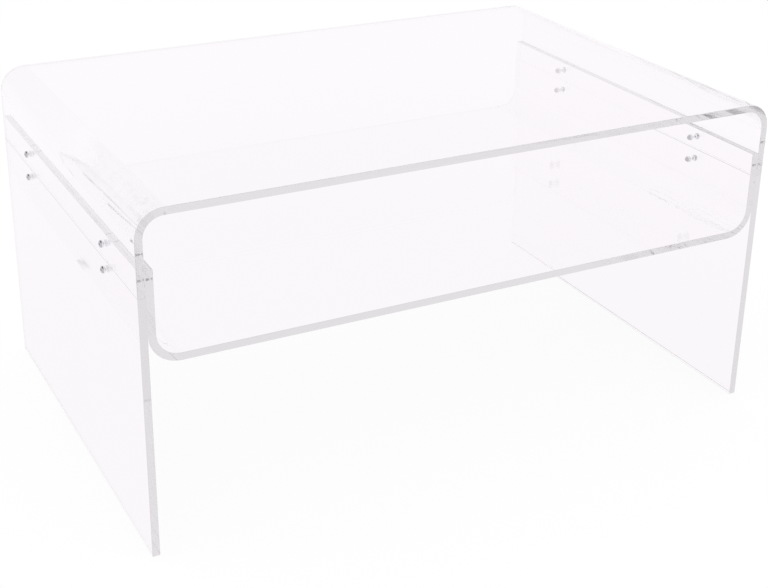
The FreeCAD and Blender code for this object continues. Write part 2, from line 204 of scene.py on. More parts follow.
@dataclass(frozen=True)
class HandlingMarks:
    """The node group of fine marks that handling and wiping leave on a polished surface.

    Its input Scale is the features per metre. Its outputs Marks (sparse hairlines) and Patches (soft
    wiped areas) run from 0 to 1.

    Fields:
        name: The group's name.
        lay: Turn and stretch of each of the two sets of hairlines.
        hairline_noise: Octaves and roughness of the hairlines' noise.
        hairline_band: Stretch of that noise over which a hairline comes up.
        patch_octaves: Octaves of the wiped areas' noise.
        patch_band: Stretch of that noise over which a wiped area comes up.
    """

    name: str = "handling_marks"
    lay: tuple[Pair, Pair] = ((0.5, 42.0), (-0.9, 36.0))
    hairline_noise: Pair = (2.0, 0.6)
    hairline_band: Pair = (0.68, 0.74)
    patch_octaves: float = 3.0
    patch_band: Pair = (0.45, 0.7)

    def group(self) -> bpy.types.NodeTree:
        """Build the group, or find it if another finish has it already.

        Returns:
            The group's tree.
        """
        if self.name in bpy.data.node_groups:
            return bpy.data.node_groups[self.name]
        tree = bpy.data.node_groups.new(self.name, "ShaderNodeTree")
        tree.interface.new_socket("Scale", in_out="INPUT", socket_type="NodeSocketFloat")
        for label in ("Marks", "Patches"):
            tree.interface.new_socket(label, in_out="OUTPUT", socket_type="NodeSocketFloat")
        shader = Shader(tree)
        scale = shader.add("NodeGroupInput").outputs["Scale"]
        place = shader.place()
        hairlines = []
        for turn, stretch in self.lay:
            laid = shader.add("ShaderNodeMapping", {
                "Vector": place, "Rotation": (turn, turn, turn), "Scale": (1.0, stretch, 1.0),
            }).outputs["Vector"]
            drawn = shader.noise(laid, scale, *self.hairline_noise)
            hairlines.append(shader.band(drawn, *self.hairline_band, *UNIT))
        wiped = shader.noise(place, scale, self.patch_octaves)
        shader.add("NodeGroupOutput", {
            "Marks": shader.math("MAXIMUM", *hairlines),
            "Patches": shader.band(wiped, *self.patch_band, *UNIT),
        })
        return tree

    def on(self, shader: Shader, scale: float) -> bpy.types.Node:
        """Place the group in a material, with this many features per metre."""
        return shader.add("ShaderNodeGroup", {"Scale": scale}, node_tree=self.group())


# ---------------------------------------- finishes


@dataclass(frozen=True)
class Finish:
    """A surface's finish, made of nodes.

    Fields:
        name: The material's name.
    """

    name: str

    def material(self) -> bpy.types.Material:
        """Build the material, or find it if another piece has it already.

        Returns:
            The material.
        """
        if self.name not in bpy.data.materials:
            material = bpy.data.materials.new(self.name)
            material.use_nodes = True
            self.fill(Shader(material.node_tree))
        return bpy.data.materials[self.name]

    def fill(self, shader: Shader) -> None:
        """Build the material's nodes in its empty tree."""
        raise NotImplementedError


@dataclass(frozen=True)
class Acrylic(Finish):
    """Cast acrylic, clear with a faint cool grey cast that deepens along the sheet.

    Fields:
        tint: What two faces of a sheet leave of white.
        painted_edge_shade: The same for sawn and polished edges, much darker: painted shade on the edges.
        soak: Colour that the volume tends to over a long path.
        soak_density: Strength of that volume, per metre.
        shade: What each face leaves of a lamp's light.
        polish: Lowest and highest roughness of the wiped surface.
        marks_scale: Handling marks per metre.
        hairline: Roughness that a hairline adds.
        baked: Roughness that the bending heat adds.
        edge_haze: Roughness that polishing leaves on a sawn edge.
        ripple: Height of the cast sheet's waviness.
        ripple_noise: Features per metre and octaves of the waviness.
        streak: Depth of the streaks along a bend.
        streak_noise: Features per metre and octaves of the streaks.
        streak_stretch: Features along a streak for each one across it.
        index: Index of refraction.
        painted_shade_depth: Bounces up to which an edge shows that painted shade.
        leak_depth: Bounces after which trapped light leaves a sheet, as scattering frees it in a real one.
    """

    name: str = "cast_clear_acrylic"
    tint: Colour = (0.990, 0.985, 0.990)
    painted_edge_shade: Colour = (0.60, 0.592, 0.60)
    soak: Colour = (0.90, 0.90, 0.90)
    soak_density: float = 0.15
    shade: Colour = (0.93, 0.93, 0.94)
    polish: Pair = (0.01, 0.03)
    marks_scale: float = 6.0
    hairline: float = 0.05
    baked: float = 0.04
    edge_haze: float = 0.05
    ripple: float = 0.01 * MM
    ripple_noise: Pair = (6.0, 1.0)
    streak: float = 0.03 * MM
    streak_noise: Pair = (90.0, 2.0)
    streak_stretch: float = 0.05
    index: float = 1.49
    painted_shade_depth: float = 2.5
    leak_depth: float = 16.5

    def fill(self, shader: Shader) -> None:
        """Build the material's nodes.

        Args:
            shader: Its empty tree.
        """
        place, path = shader.place(), shader.add("ShaderNodeLightPath").outputs
        sawn, heated = shader.mark(SAWN), shader.mark(HEATED)
        # Painted shade: sawn and polished edges darken for the first few bounces, where they are seen
        # directly or after a bounce or two.
        near = shader.math("LESS_THAN", path["Ray Depth"], self.painted_shade_depth)
        edge = shader.math("MULTIPLY", sawn, near)
        marks = HandlingMarks().on(shader, self.marks_scale).outputs
        wiped = shader.band(marks["Patches"], *UNIT, *self.polish)
        scratched = shader.math("MULTIPLY", marks["Marks"], self.hairline)
        baked = shader.math("MULTIPLY", shader.math("SUBTRACT", heated, sawn), self.baked)
        haze = shader.math("MAXIMUM", baked, shader.math("MULTIPLY", sawn, self.edge_haze))
        along = shader.add("ShaderNodeMapping", {"Vector": place, "Scale": (1.0, self.streak_stretch, 1.0)})
        streaks = shader.math("MULTIPLY", shader.noise(along.outputs["Vector"], *self.streak_noise), heated)
        waves = shader.math("MULTIPLY", shader.noise(place, *self.ripple_noise), self.ripple / self.streak)
        skin = shader.add("ShaderNodeBsdfPrincipled", {
            "Base Color": shader.blend(edge, self.tint, self.painted_edge_shade),
            "Roughness": shader.math("ADD", shader.math("ADD", wiped, scratched), haze),
            "Normal": shader.bump(shader.math("ADD", streaks, waves), self.streak),
            "IOR": self.index,
            "Transmission Weight": 1.0,
        })
        clear = shader.add("ShaderNodeBsdfTransparent", {
            "Color": shader.blend(path["Is Shadow Ray"], WHITE, self.shade),
        })
        strayed = shader.math("GREATER_THAN", path["Ray Depth"], self.leak_depth)
        straight = shader.math("MAXIMUM", path["Is Shadow Ray"], strayed)
        inside = shader.add("ShaderNodeVolumeAbsorption", {"Color": self.soak, "Density": self.soak_density})
        shader.add("ShaderNodeOutputMaterial", {
            "Surface": shader.choose(straight, skin.outputs["BSDF"], clear.outputs["BSDF"]),
            "Volume": inside.outputs["Volume"],
        })


@dataclass(frozen=True)
class Steel(Finish):
    """Polished steel of the fasteners: turning rings, painted highlights on sharp corners, painted shade in
    the sockets.

    Fields:
        colour: The metal's own colour.
        worn: Its colour on sharp corners, a painted highlight.
        highlight_band: Stretch of the grain over which a corner's painted highlight comes up.
        painted_socket_shade: Painted shade: its colour at the bottom of a socket.
        polish: Lowest and highest roughness.
        polish_band: Stretch of grain and rings over which the roughness goes from one to the other.
        marks_scale: Handling marks per metre.
        hairline: Roughness that a hairline adds.
        grain_noise: Features per metre and octaves of the metal's grain.
        rings: Turning rings per metre of radius.
        ring_octaves: Octaves of the rings.
        ring_depth: Depth of a turning ring.
    """

    name: str = "turned_polished_steel"
    colour: Colour = (0.50, 0.51, 0.53)
    worn: Colour = (0.94, 0.94, 0.95)
    highlight_band: Pair = (0.35, 0.6)
    painted_socket_shade: Colour = (0.02, 0.02, 0.02)
    polish: Pair = (0.02, 0.08)
    polish_band: Pair = (0.35, 0.65)
    marks_scale: float = 300.0
    hairline: float = 0.12
    grain_noise: Pair = (1200.0, 4.0)
    rings: float = 9000.0
    ring_octaves: float = 2.0
    ring_depth: float = 0.004 * MM

    def fill(self, shader: Shader) -> None:
        """Build the material's nodes.

        Args:
            shader: Its empty tree.
        """
        grain = shader.noise(shader.place(), *self.grain_noise)
        ring_inputs = {"W": shader.mark(TURN_RADIUS), "Scale": self.rings, "Detail": self.ring_octaves}
        rings = shader.add("ShaderNodeTexNoise", ring_inputs, noise_dimensions="1D").outputs["Fac"]
        # Painted highlight on sharp corners, broken up by the grain.
        highlight = shader.math("MULTIPLY", shader.mark(CORNER_HIGHLIGHT), shader.band(grain, *self.highlight_band, *UNIT))
        highlit = shader.blend(highlight, self.colour, self.worn)
        texture = shader.math("MULTIPLY", shader.math("ADD", grain, rings), 0.5)
        turned = shader.band(texture, *self.polish_band, *self.polish)
        marks = HandlingMarks().on(shader, self.marks_scale).outputs
        scratched = shader.math("MULTIPLY", marks["Marks"], self.hairline)
        skin = shader.add("ShaderNodeBsdfPrincipled", {
            # Painted shade darkens the bottom of each socket.
            "Base Color": shader.blend(shader.mark(RECESS), highlit, self.painted_socket_shade),
            "Roughness": shader.math("ADD", turned, scratched),
            "Normal": shader.bump(rings, self.ring_depth),
            "Metallic": 1.0,
        })
        shader.add("ShaderNodeOutputMaterial", {"Surface": skin.outputs["BSDF"]})


@dataclass(frozen=True)
class PaleFloor(Finish):
    """The studio's floor: matt, lit evenly white, with the table's shadow on it. Where the sheets show and
    mirror it, it also has a painted shadow, dimmer near the middle.

    Fields:
        colour: Colour of its matt share.
        glow: Share that shows evenly lit white. The rest takes the table's shadow.
        cast: Its colour as the sheets show and mirror it.
        levels: Its level near the middle and far off, as the sheets show and mirror it. The lower level near
            the middle is a painted shadow under the table.
        fade: Distances from the middle between which that level changes, over which the painted shadow fades
            out.
    """

    name: str = "pale_floor"
    colour: Colour = (0.93, 0.93, 0.93)
    glow: float = 0.87
    cast: Colour = WHITE
    levels: Pair = (0.965, 1.0)
    fade: Pair = (0.6, 1.6)

    def fill(self, shader: Shader) -> None:
        """Build the material's nodes.

        Args:
            shader: Its empty tree.
        """
        path = shader.add("ShaderNodeLightPath").outputs
        # Painted shadow: the floor that the sheets show and mirror glows dimmer near the middle, under the
        # table.
        distance = shader.add("ShaderNodeVectorMath", {0: shader.place()}, operation="LENGTH")
        level = shader.band(distance.outputs["Value"], *self.fade, *self.levels)
        matt = shader.add("ShaderNodeBsdfDiffuse", {"Color": self.colour})
        lit = shader.add("ShaderNodeEmission", {
            "Color": shader.blend(path["Is Camera Ray"], self.cast, WHITE),
            "Strength": shader.math("MAXIMUM", level, path["Is Camera Ray"]),
        })
        direct = shader.math("MULTIPLY", path["Is Camera Ray"], self.glow)
        mirrored = shader.math("MAXIMUM", path["Is Transmission Ray"], path["Is Glossy Ray"])
        share = shader.math("MAXIMUM", direct, mirrored)
        surface = shader.choose(share, matt.outputs["BSDF"], lit.outputs["Emission"])
        shader.add("ShaderNodeOutputMaterial", {"Surface": surface})


# ---------------------------------------- mesh helpers


def new_piece(name: str, bm: bmesh.types.BMesh) -> bpy.types.Object:
    """Turn a finished bmesh into an object at the origin.

    Args:
        name: The object's name.
        bm: The mesh, which is freed.

    Returns:
        The object.
    """
    mesh = bpy.data.meshes.new(name)
    bm.to_mesh(mesh)
    bm.free()
    piece = bpy.data.objects.new(name, mesh)
    bpy.context.scene.collection.objects.link(piece)
    return piece


def dress(piece: bpy.types.Object, finish: Finish, slot: Slot, *nodes: str) -> None:
    """Give a piece its finish and its place in the frame, and report it.

    Args:
        piece: The finished object.
        finish: Its only finish.
        slot: The record's slot. Not used.
        nodes: CAD nodes that the piece stands for.
    """
    piece.data.materials.clear()
    piece.data.materials.append(finish.material())
    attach(piece, BODY)
    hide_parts(*nodes)
    LOG.info("%s: %d faces, %s", piece.name, len(piece.data.polygons), finish.name)


def pick(geometry: Iterable[object], kind: type) -> list:
    """Pick the elements of one bmesh type from an operator's output."""
    return [item for item in geometry if isinstance(item, kind)]


def hexagon_radius(across_flats: float) -> float:
    """Measure a hexagon from its middle to its corners."""
    return across_flats / 2 / math.cos(math.pi / HEX)


# ---------------------------------------- the table's lines


@dataclass(frozen=True)
class Lines:
    """Planes and axes that the table's pieces share, read from the frame.

    Fields:
        half_width: Outer face of each side.
        half_depth: Polished front and back edges.
        height: Upper face of the top.
        gauge: Thickness of every sheet.
        seam: Height where top panel and legs meet.
        shelf_underside: Lower face of the shelf.
        splice_top: Upper edge of the shelf's flanges.
        head_radius: Radius of the screw heads.
        head_face: Outer face of the right side's screw heads, in X.
        screw_end: Inner end of the right side's screws.
        nut_end: Inner end of the right side's nuts.
        screw_axes: Y and Z of the four screw axes of a side.
    """

    half_width: float
    half_depth: float
    height: float
    gauge: float
    seam: float
    shelf_underside: float
    splice_top: float
    head_radius: float
    head_face: float
    screw_end: float
    nut_end: float
    screw_axes: tuple[Pair, ...]

    @classmethod
    def read(cls, head_radius: float = 4.75 * MM) -> "Lines":
        """Read the lines from the CAD nodes' boxes.

        Args:
            head_radius: Radius of the screw heads, which stand out round their axes by as much.

        Returns:
            The lines.
        """
        top, leg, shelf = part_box("top_panel"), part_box("right_leg"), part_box("shelf")
        screws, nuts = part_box("right_screws"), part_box("right_cap_nuts")
        columns = (screws[0].y + head_radius, screws[1].y - head_radius)
        rows = (screws[0].z + head_radius, screws[1].z - head_radius)
        return cls(
            half_width=top[1].x,
            half_depth=top[1].y,
            height=top[1].z,
            gauge=leg[1].x - leg[0].x,
            seam=top[0].z,
            shelf_underside=shelf[0].z,
            splice_top=shelf[1].z,
            head_radius=head_radius,
            head_face=screws[1].x,
            screw_end=screws[0].x,
            nut_end=nuts[0].x,
            screw_axes=tuple((y, z) for y in columns for z in rows),
        )

    @property
    def inner_face(self) -> float:
        """Inner face of each side, where the shelf's flanges bear."""
        return self.half_width - self.gauge

    @property
    def flange_face(self) -> float:
        """Inner face of each shelf flange, where the nuts bear."""
        return self.half_width - 2 * self.gauge


# ---------------------------------------- sheets


@dataclass
class Sheet:
    """One polished acrylic sheet, bent along its length by a hot wire.

    The sheet grows from its first edge by runs and bends, as its centre line does. Its faces then get a
    polished arris and its screw holes.

    Fields:
        lines: The table's shared lines.
        finish: The acrylic.
        name: The piece's name.
        nodes: CAD nodes that it stands for.
        arris: Radius of the polished edges.
        seam_arris: The same where two sheets butt.
        arris_steps: Facets of an arris.
        bend_steps: Facets of a quarter bend.
        easing: Length over which a bend tightens to its full radius.
        bake: Share of the full haze and streaks that the hot wire left in its bends.
        hole_radius: Radius of the screw holes.
        bore_steps: Facets round a hole.
        drill_reach: How far the drill goes each way from a side's outer face.
        bm: The mesh that grows.
        heated: Its layer of the mark HEATED.
        sawn: Its layer of the mark SAWN.
        first: Face of the first edge.
        end: Face that grows on.
        centre: Middle of that face.
        heading: Direction in which the sheet goes on from there.
    """

    lines: Lines
    finish: Acrylic
    name: str
    nodes: tuple[str, ...]
    arris: float = 0.8 * MM
    seam_arris: float = 0.55 * MM
    arris_steps: int = 3
    bend_steps: int = 40
    easing: float = 14 * MM
    bake: float = 1.0
    hole_radius: float = 2.75 * MM
    bore_steps: int = 48
    drill_reach: float = 40 * MM
    bm: bmesh.types.BMesh = field(default_factory=bmesh.new, init=False)
    heated: bmesh.types.BMLayerItem = field(init=False)
    sawn: bmesh.types.BMLayerItem = field(init=False)
    first: bmesh.types.BMFace = field(init=False)
    end: bmesh.types.BMFace = field(init=False)
    centre: Vector = field(init=False)
    heading: Vector = field(init=False)

    def start(self, x: float, z: float, heading: Vector) -> None:
        """Lay the first edge of the sheet, across the table's depth.

        Args:
            x: Centre of the edge.
            z: Centre of the edge.
            heading: Direction in which the sheet leaves it, along X or Z.
        """
        self.heading = heading.copy()
        self.centre = Vector((x, 0.0, z))
        self.heated = self.bm.verts.layers.float.new(HEATED)
        self.sawn = self.bm.faces.layers.float.new(SAWN)
        turn = Matrix((heading.cross(Y_AXIS), Y_AXIS, heading)).transposed().to_4x4()
        made = bmesh.ops.create_grid(self.bm, x_segments=1, y_segments=1, size=0.5)["verts"]
        bmesh.ops.scale(self.bm, vec=(self.lines.gauge, 2 * self.lines.half_depth, 1.0), verts=made)
        bmesh.ops.transform(self.bm, matrix=Matrix.Translation(self.centre) @ turn, verts=made)
        self.bm.faces.ensure_lookup_table()
        self.first = self.end = self.bm.faces[0]

    def run(self, length: float) -> None:
        """Carry the sheet straight on.

        Args:
            length: Length of the straight stretch.
        """
        step = self.heading * length
        made = bmesh.ops.extrude_face_region(self.bm, geom=[self.end, *self.end.edges, *self.end.verts])
        bmesh.ops.translate(self.bm, vec=step, verts=pick(made["geom"], bmesh.types.BMVert))
        self.end = pick(made["geom"], bmesh.types.BMFace)[0]
        self.centre += step
        for vert in self.end.verts:
            vert[self.heated] = 0.0

    def arcs(self, inner_radius: float) -> list[tuple[float, float, float]]:
        """Split a quarter bend into short arcs that tighten gently at its start and ease off at its end.

        Args:
            inner_radius: Radius of the inner face at the tightest part.

        Returns:
            Angle, centre-line radius and share of the full heat of each arc.
        """
        length = QUARTER * (inner_radius + self.lines.gauge / 2) + self.easing
        step = length / self.bend_steps
        heats = []
        for index in range(self.bend_steps):
            along = (index + 0.5) * step
            ramp = min(1.0, along / self.easing, (length - along) / self.easing)
            heats.append(ramp * ramp * (3 - 2 * ramp))
        return [(QUARTER * heat / sum(heats), step * sum(heats) / (QUARTER * heat), heat) for heat in heats]

    def setback(self, inner_radius: float) -> float:
        """Measure how far before the corner of its centre lines a bend starts.

        Args:
            inner_radius: Radius of the inner face at the tightest part.

        Returns:
            The distance, the same on both sides of the corner.
        """
        distance, turned = 0.0, 0.0
        for angle, radius, _ in self.arcs(inner_radius):
            distance += 2 * radius * math.sin(angle / 2) * math.cos(turned + angle / 2)
            turned += angle
        return distance

    def bend(self, inner_radius: float, turn: int) -> None:
        """Carry the sheet round a quarter bend.

        Args:
            inner_radius: Radius of the inner face at the tightest part.
            turn: 1 to turn about +Y, -1 the other way.
        """
        for angle, radius, heat in self.arcs(inner_radius):
            sideways = Matrix.Rotation(turn * QUARTER, 3, Y_AXIS) @ self.heading
            pivot = self.centre + sideways * radius
            made = bmesh.ops.spin(
                self.bm, geom=[self.end, *self.end.edges, *self.end.verts], cent=pivot, axis=Y_AXIS,
                dvec=(0, 0, 0), angle=turn * angle, steps=1, use_duplicate=False,
            )
            self.end = pick(made["geom_last"], bmesh.types.BMFace)[0]
            for vert in self.end.verts:
                vert[self.heated] = self.bake * heat
            rotation = Matrix.Rotation(turn * angle, 3, Y_AXIS)
            self.centre = pivot + rotation @ (self.centre - pivot)
            self.heading = rotation @ self.heading
        self.heading = Vector([round(part) for part in self.heading])

    def butts(self, edge: bmesh.types.BMEdge) -> bool:
        """Tell whether an edge lies in the seam, where it is eased less than elsewhere."""
        return all(abs(vert.co.z - self.lines.seam) < 2 * FILM for vert in edge.verts)

    def polish_edges(self) -> None:
        """Round the sheet's sharp edges to their arris, and mark what the saw and the polish left."""
        bmesh.ops.recalc_face_normals(self.bm, faces=self.bm.faces)
        for face in self.bm.faces:
            front_or_back = abs(face.normal.y) > FACING
            face[self.sawn] = float(front_or_back or face in (self.first, self.end))
        for butting, radius in ((False, self.arris), (True, self.seam_arris)):
            sharp = [
                edge for edge in self.bm.edges
                if edge.calc_face_angle(0.0) > SHARP and self.butts(edge) is butting
            ]
            made = bmesh.ops.bevel(
                self.bm, geom=sharp, offset=radius, affect="EDGES", segments=self.arris_steps,
                profile=0.5, material=-1,
            )
            for face in made["faces"]:
                face[self.sawn] = 1.0

    def drill(self, piece: bpy.types.Object, sides: Iterable[Side], rows: set[float]) -> None:
        """Cut the screw holes.

        Args:
            piece: The sheet's object.
            sides: Sides of the table to drill.
            rows: Heights of the rows that pass through this sheet.
        """
        cutter = bmesh.new()
        lie_down = Matrix.Rotation(QUARTER, 4, Y_AXIS)
        for side in sides:
            for y, z in self.lines.screw_axes:
                if z in rows:
                    place = Matrix.Translation((side.value * self.lines.half_width, y, z))
                    bmesh.ops.create_cone(
                        cutter, cap_ends=True, segments=self.bore_steps, radius1=self.hole_radius,
                        radius2=self.hole_radius, depth=2 * self.drill_reach, matrix=place @ lie_down,
                    )
        bores = new_piece(self.name + "_bores", cutter)
        modifier = piece.modifiers.new("bores", "BOOLEAN")
        modifier.object = bores
        modifier.solver = "EXACT"
        graph = bpy.context.evaluated_depsgraph_get()
        drilled = bpy.data.meshes.new_from_object(piece.evaluated_get(graph))
        piece.modifiers.clear()
        piece.data = drilled
        bpy.data.objects.remove(bores)

    def make(self, sides: Iterable[Side], rows: set[float]) -> bpy.types.Object:
        """Finish the sheet that the runs and bends have formed.

        Args:
            sides: Sides of the table to drill.
            rows: Heights of the rows that pass through this sheet.

        Returns:
            The finished piece. Its bends, arrises and bores are shaded smooth.
        """
        self.polish_edges()
        piece = new_piece(self.name, self.bm)
        self.drill(piece, sides, rows)
        for face in piece.data.polygons:
            face.use_smooth = max(abs(part) for part in face.normal) < PLANE
        dress(piece, self.finish, Slot.ACRYLIC, *self.nodes)
        return piece


@dataclass
class TopPanel(Sheet):
    """The waterfall top: a flat span that turns down at both ends.

    Fields:
        inner_radius: Radius inside each bend.
    """

    name: str = "top_panel_sheet"
    nodes: tuple[str, ...] = ("top_panel",)
    inner_radius: float = 26 * MM

    def build(self) -> bpy.types.Object:
        """Form and finish the top.

        Returns:
            The finished piece.
        """
        lines = self.lines
        seam, side = lines.seam + FILM, lines.half_width - lines.gauge / 2
        setback = self.setback(self.inner_radius)
        drop = lines.height - lines.gauge / 2 - seam - setback
        self.start(side, seam, Z_AXIS)
        self.run(drop)
        self.bend(self.inner_radius, -1)
        self.run(2 * (side - setback))
        self.bend(self.inner_radius, -1)
        self.run(drop)
        return self.make(Side, {z for _, z in lines.screw_axes if z > lines.seam})


@dataclass
class Shelf(Sheet):
    """The shelf: a flat span whose ends turn up into flanges behind the seam.

    Fields:
        bake: As for any sheet. The shelf's bends are clearer than the top's.
        inner_radius: Radius inside each bend.
    """

    name: str = "shelf_sheet"
    nodes: tuple[str, ...] = ("shelf",)
    inner_radius: float = 29 * MM
    bake: float = 0.15

    def build(self) -> bpy.types.Object:
        """Form and finish the shelf.

        Returns:
            The finished piece.
        """
        lines = self.lines
        side = lines.inner_face - FILM - lines.gauge / 2
        setback = self.setback(self.inner_radius)
        rise = lines.splice_top - lines.shelf_underside - lines.gauge / 2 - setback
        self.start(side, lines.splice_top, -Z_AXIS)
        self.run(rise)
        self.bend(self.inner_radius, 1)
        self.run(2 * (side - setback))
        self.bend(self.inner_radius, 1)
        self.run(rise)
        return self.make(Side, {z for _, z in lines.screw_axes})


@dataclass
class Leg(Sheet):
    """A flat leg that carries the top panel's edge on its own.

    Fields:
        side: End of the table that it stands at.
    """

    name: str = "leg_sheet"
    nodes: tuple[str, ...] = ()
    side: Side = Side.LEFT

    def build(self) -> bpy.types.Object:
        """Form and finish the leg.

        Returns:
            The finished piece.
        """
        lines = self.lines
        self.name = f"{self.side.word}_leg_sheet"
        self.nodes = (f"{self.side.word}_leg",)
        self.start(self.side.value * (lines.half_width - lines.gauge / 2), 0.0, Z_AXIS)
        self.run(lines.seam - FILM)
        return self.make((self.side,), {z for _, z in lines.screw_axes if z < lines.seam})


# ---------------------------------------- fasteners


@dataclass
class Turned:
    """A small part turned on a lathe about X, with its outside towards +X.

    Fields:
        lines: The table's shared lines.
        finish: The steel.
        steps: Facets round the axis.
        clocking: Degrees by which each of a side's four parts is turned about its axis.
    """

    lines: Lines
    finish: Steel
    steps: int = 48
    clocking: tuple[float, ...] = (17.0, 40.0, 63.0, 86.0)

    def lathe(self, bm: bmesh.types.BMesh, outline: list[Pair], rise: float = 0.0) -> None:
        """Spin an outline once about the X axis.

        Args:
            bm: The mesh to add to.
            outline: Distance along X and radius of each point.
            rise: Distance along X that a thread gains in the turn. Without it the skin meets its start.
        """
        before = set(bm.verts)
        points = [bm.verts.new((along, 0.0, radius)) for along, radius in outline]
        edges = [bm.edges.new(pair) for pair in zip(points, points[1:])]
        bmesh.ops.spin(
            bm, geom=[*points, *edges], cent=(0, 0, 0), axis=X_AXIS, dvec=(rise / self.steps, 0, 0),
            angle=FULL, steps=self.steps, use_merge=not rise, use_duplicate=False,
        )
        made = [vert for vert in bm.verts if vert not in before]
        bmesh.ops.remove_doubles(bm, verts=made, dist=WELD)

    def hexagon(self, bm: bmesh.types.BMesh, across_flats: float, x: float) -> list:
        """Lay a hexagon loop with as many points as the turned skin has facets.

        Args:
            bm: The mesh to add to.
            across_flats: Distance between opposite sides.
            x: Where it lies along the axis.

        Returns:
            The loop's edges.
        """
        before = set(bm.edges)
        bmesh.ops.create_circle(
            bm, segments=HEX, radius=hexagon_radius(across_flats),
            matrix=Matrix.Translation((x, 0, 0)) @ Matrix.Rotation(QUARTER, 4, Y_AXIS),
        )
        sides = [edge for edge in bm.edges if edge not in before]
        bmesh.ops.subdivide_edges(bm, edges=sides, cuts=self.steps // HEX - 1)
        return [edge for edge in bm.edges if edge not in before]

    def finish_skin(self, bm: bmesh.types.BMesh) -> None:
        """Orient the part's faces and mark at each vertex its radius and how sharp its corner is, for the
        painted highlight.

        Args:
            bm: The part, about its own axis.
        """
        bmesh.ops.recalc_face_normals(bm, faces=bm.faces)
        radius = bm.verts.layers.float.new(TURN_RADIUS)
        worn = bm.verts.layers.float.new(CORNER_HIGHLIGHT)
        for vert in bm.verts:
            vert[radius] = math.hypot(vert.co.y, vert.co.z)
            # The sharper a vertex's corner, the stronger the painted highlight that the steel gives it.
            sharpest = max((edge.calc_face_angle(0.0) for edge in vert.link_edges), default=0.0)
            vert[worn] = min(1.0, sharpest / SHARP)
        for face in bm.faces:
            face.smooth = True
        for edge in bm.edges:
            edge.smooth = edge.calc_face_angle(0.0) < CREASE

    def make(self, bm: bmesh.types.BMesh, side: Side, parts: str, node: str) -> bpy.types.Object:
        """Finish a part's skin, copy it to a side's four screw axes and dress the four as one piece.

        Args:
            bm: The part, about its own axis and placed along X for the right side. It is freed.
            side: The side to fill.
            parts: What the four are called, after the side's word.
            node: The CAD node that they stand for, without the side's word.

        Returns:
            The finished piece.
        """
        self.finish_skin(bm)
        part = bpy.data.meshes.new("turned_part")
        bm.to_mesh(part)
        bm.free()
        four = bmesh.new()
        facing = Matrix() if side is Side.RIGHT else Matrix.Rotation(math.pi, 4, Z_AXIS)
        for (y, z), angle in zip(self.lines.screw_axes, self.clocking):
            before = set(four.verts)
            four.from_mesh(part)
            turn = Matrix.Rotation(math.radians(angle), 4, X_AXIS)
            place = Matrix.Translation((0, y, z)) @ facing @ turn
            bmesh.ops.transform(four, matrix=place, verts=[v for v in four.verts if v not in before])
        bpy.data.meshes.remove(part)
        piece = new_piece(f"{side.word}_{parts}", four)
        dress(piece, self.finish, Slot.STEEL, f"{side.word}_{node}")
        return piece


@dataclass
class Screws(Turned):
    """Button-head socket screws, four to a side, with a rolled thread.

    Fields:
        rim: Height of the head's straight rim.
        flat_radius: Radius of the flat round the socket.
        dome_steps: Facets from the rim to the flat.
        socket: Hexagon across flats.
        socket_depth: Depth of the socket.
        pitch: Thread pitch.
        crest: Thread radius at the crest.
        root: Thread radius at the root.
        tooth: Outline of one pitch: share of the pitch, and whether the point lies on the crest.
    """

    rim: float = 0.5 * MM
    flat_radius: float = 2.3 * MM
    dome_steps: int = 10
    socket: float = 3.0 * MM
    socket_depth: float = 1.6 * MM
    pitch: float = 0.8 * MM
    crest: float = 2.5 * MM
    root: float = 2.05 * MM
    tooth: tuple[tuple[float, bool], ...] = (
        (0.0, False), (0.125, False), (0.45, True), (0.55, True), (0.875, False),
    )

    def head(self, bm: bmesh.types.BMesh) -> None:
        """Add the head with its socket.

        Args:
            bm: The mesh to add to.
        """
        recess = bm.verts.layers.float.new(RECESS)
        seat, face = self.lines.half_width + FILM, self.lines.head_face
        rise, rim_radius = face - seat - self.rim, self.lines.head_radius
        run = rim_radius - self.flat_radius
        outline = [(seat, 0.0), (seat, rim_radius), (seat + self.rim, rim_radius)]
        for step in range(1, self.dome_steps + 1):
            angle = QUARTER * step / self.dome_steps
            along = seat + self.rim + rise * math.sin(angle)
            outline.append((along, self.flat_radius + run * math.cos(angle)))
        self.lathe(bm, outline)
        ring = [edge for edge in bm.edges if edge.is_boundary]
        mouth = self.hexagon(bm, self.socket, face)
        bmesh.ops.bridge_loops(bm, edges=[*ring, *mouth])
        made = bmesh.ops.extrude_edge_only(bm, edges=mouth)
        floor = pick(made["geom"], bmesh.types.BMVert)
        bmesh.ops.translate(bm, vec=(-self.socket_depth, 0, 0), verts=floor)
        # The socket's floor gets painted shade.
        for vert in floor:
            vert[recess] = 1.0
        bmesh.ops.contextual_create(bm, geom=pick(made["geom"], bmesh.types.BMEdge))

    def thread(self, bm: bmesh.types.BMesh) -> None:
        """Add the threaded shank, from inside the head to its point.

        Args:
            bm: The mesh to add to.
        """
        start, end = self.lines.screw_end, self.lines.half_width + self.rim
        before = set(bm.verts)
        turns = math.ceil((end - start) / self.pitch)
        # The outline has a turn too many at each end, which the two planes below cut off.
        outline = [
            (start + (turn + share) * self.pitch, self.crest if on_crest else self.root)
            for turn in range(-1, turns + 1) for share, on_crest in self.tooth
        ]
        self.lathe(bm, outline, rise=self.pitch)
        for plane, outside in ((start, -X_AXIS), (end, X_AXIS)):
            skin = [vert for vert in bm.verts if vert not in before]
            edges = {edge for vert in skin for edge in vert.link_edges}
            faces = {face for vert in skin for face in vert.link_faces}
            cut = bmesh.ops.bisect_plane(
                bm, geom=[*skin, *edges, *faces], dist=WELD, plane_co=(plane, 0, 0), plane_no=outside,
                clear_outer=True,
            )
            rim = [edge for edge in pick(cut["geom_cut"], bmesh.types.BMEdge) if edge.is_boundary]
            bmesh.ops.contextual_create(bm, geom=rim)

    def build(self, side: Side) -> bpy.types.Object:
        """Make a side's four screws.

        Args:
            side: The side.

        Returns:
            The finished piece.
        """
        bm = bmesh.new()
        self.head(bm)
        self.thread(bm)
        return self.make(bm, side, "button_head_screws", "screws")


